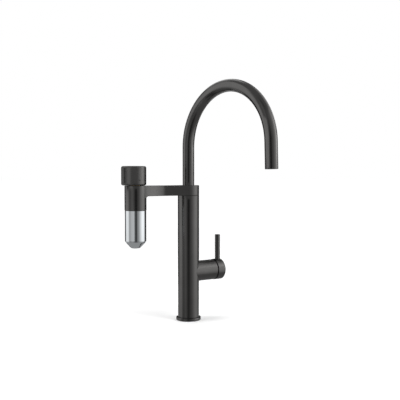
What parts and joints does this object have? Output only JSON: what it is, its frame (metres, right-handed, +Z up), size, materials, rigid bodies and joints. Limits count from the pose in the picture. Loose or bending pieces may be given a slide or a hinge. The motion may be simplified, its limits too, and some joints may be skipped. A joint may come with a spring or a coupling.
{
  "type": "filtered water kitchen tap",
  "caption": "Kitchen mixer tap with a swan-neck swivel spout, a side lever and a side arm that carries a screw-on water filter capsule under a turning knob.",
  "frame": {"origin": "axis of the fixing stud at the deck, under the middle of the column", "axes": "+Z up, filter arm along -X, mixer lever at +X, straight-ahead spout along -Y"},
  "size_m": [0.2247, 0.2561, 0.463],
  "materials": {
    "dark_metal": "satin gunmetal coating",
    "capsule_steel": "polished drawn steel",
    "brass": "machined",
    "copper_pipe": "drawn tube",
    "screw_steel": "plain",
    "seal_rubber": "matt",
    "white_plastic": "moulded",
    "black_plastic": "moulded",
    "ceramic": "lapped ceramic",
    "carbon": "pressed carbon",
    "fleece": "white filter fleece",
    "lens": "smoked clear",
    "circuit_board": "solder mask",
    "cell_metal": "plated"
  },
  "bodies": {
    "tap_body": {"base_flange": "dark_metal", "deck_seal": "seal_rubber", "inlet_block": "brass", "hot_pipe": "copper_pipe", "cold_pipe": "copper_pipe", "column_tube": "dark_metal", "barrel_sleeve": "dark_metal", "valve_body": "brass", "mixed_riser": "copper_pipe", "filter_feed_pipe": "copper_pipe", "cartridge_holder": "brass", "cartridge_base": "white_plastic", "port_seals": "seal_rubber", "fixed_disc": "ceramic", "cartridge_housing": "white_plastic", "cartridge_nut": "brass", "filter_arm": "dark_metal", "arm_lock_screw": "screw_steel", "lower_bush": "white_plastic", "upper_bush": "white_plastic", "swivel_stop_pin": "screw_steel", "headwork_seal": "seal_rubber", "headwork_body": "brass", "headwork_fixed_disc": "ceramic"},
    "spout": {"spout_tube": "dark_metal", "spout_tailpiece": "brass", "spout_seals": "seal_rubber", "filtered_tube": "white_plastic", "aerator_housing": "black_plastic", "aerator_screen": "white_plastic", "aerator_seal": "seal_rubber"},
    "mixer_rotor": {"spindle_guide": "white_plastic", "cross_pin": "screw_steel"},
    "flow_disc": {"moving_disc": "ceramic", "disc_carrier": "black_plastic"},
    "mixer_lever": {"lever_stem": "brass", "handle_cap": "dark_metal", "lever_rod": "dark_metal", "handle_ring": "black_plastic", "handle_screw": "screw_steel"},
    "filter_knob": {"knob_shell": "dark_metal", "knob_base": "black_plastic", "knob_insert": "black_plastic", "knob_screw": "screw_steel", "indicator_lens": "lens", "indicator_board": "circuit_board", "coin_cell": "cell_metal", "headwork_spindle": "brass", "headwork_moving_disc": "ceramic"},
    "filter_insert": {"filter_top_cap": "white_plastic", "nozzle_seal": "seal_rubber", "carbon_block": "carbon", "fleece_wrap": "fleece", "filter_bottom_cap": "white_plastic"},
    "capsule_cup": {"capsule_cup": "capsule_steel", "capsule_collar": "black_plastic", "capsule_seal": "seal_rubber"}
  },
  "joints": [
    {"name": "spout_swivel", "type": "hinge", "parent": "tap_body", "child": "spout", "pos_m": [0, 0, 0.25], "axis": [0, 0, 1], "range_deg": [-96.2, 83.8]},
    {"name": "mixer_temperature", "type": "hinge", "parent": "tap_body", "child": "mixer_rotor", "pos_m": [0.038, 0, 0.0954], "axis": [1, 0, 0], "range_deg": [-50, 50]},
    {"name": "mixer_flow", "type": "hinge", "parent": "mixer_rotor", "child": "mixer_lever", "pos_m": [0.038, 0, 0.0954], "axis": [0, 1, 0], "range_deg": [0, 20]},
    {"name": "disc_slide", "type": "slide", "parent": "mixer_rotor", "child": "flow_disc", "axis": [0, 0, 1], "range_m": [0, 0.00472]},
    {"name": "filter_valve", "type": "hinge", "parent": "tap_body", "child": "filter_knob", "pos_m": [-0.1195, 0, 0.28], "axis": [0, 0, 1], "range_deg": [0, 90]},
    {"name": "capsule_drop", "type": "slide", "parent": "tap_body", "child": "filter_insert", "axis": [0, 0, -1], "range_m": [0, 0.016]},
    {"name": "capsule_unscrew", "type": "hinge", "parent": "filter_insert", "child": "capsule_cup", "pos_m": [-0.1195, 0, 0.18], "axis": [0, 0, -1], "range_deg": [0, 1441]}
  ],
  "couplings": [
    {"joint": "disc_slide", "follows": "mixer_flow", "m_per_rad": 0.013521},
    {"joint": "capsule_unscrew", "follows": "capsule_drop", "rad_per_m": 1570.8}
  ]
}
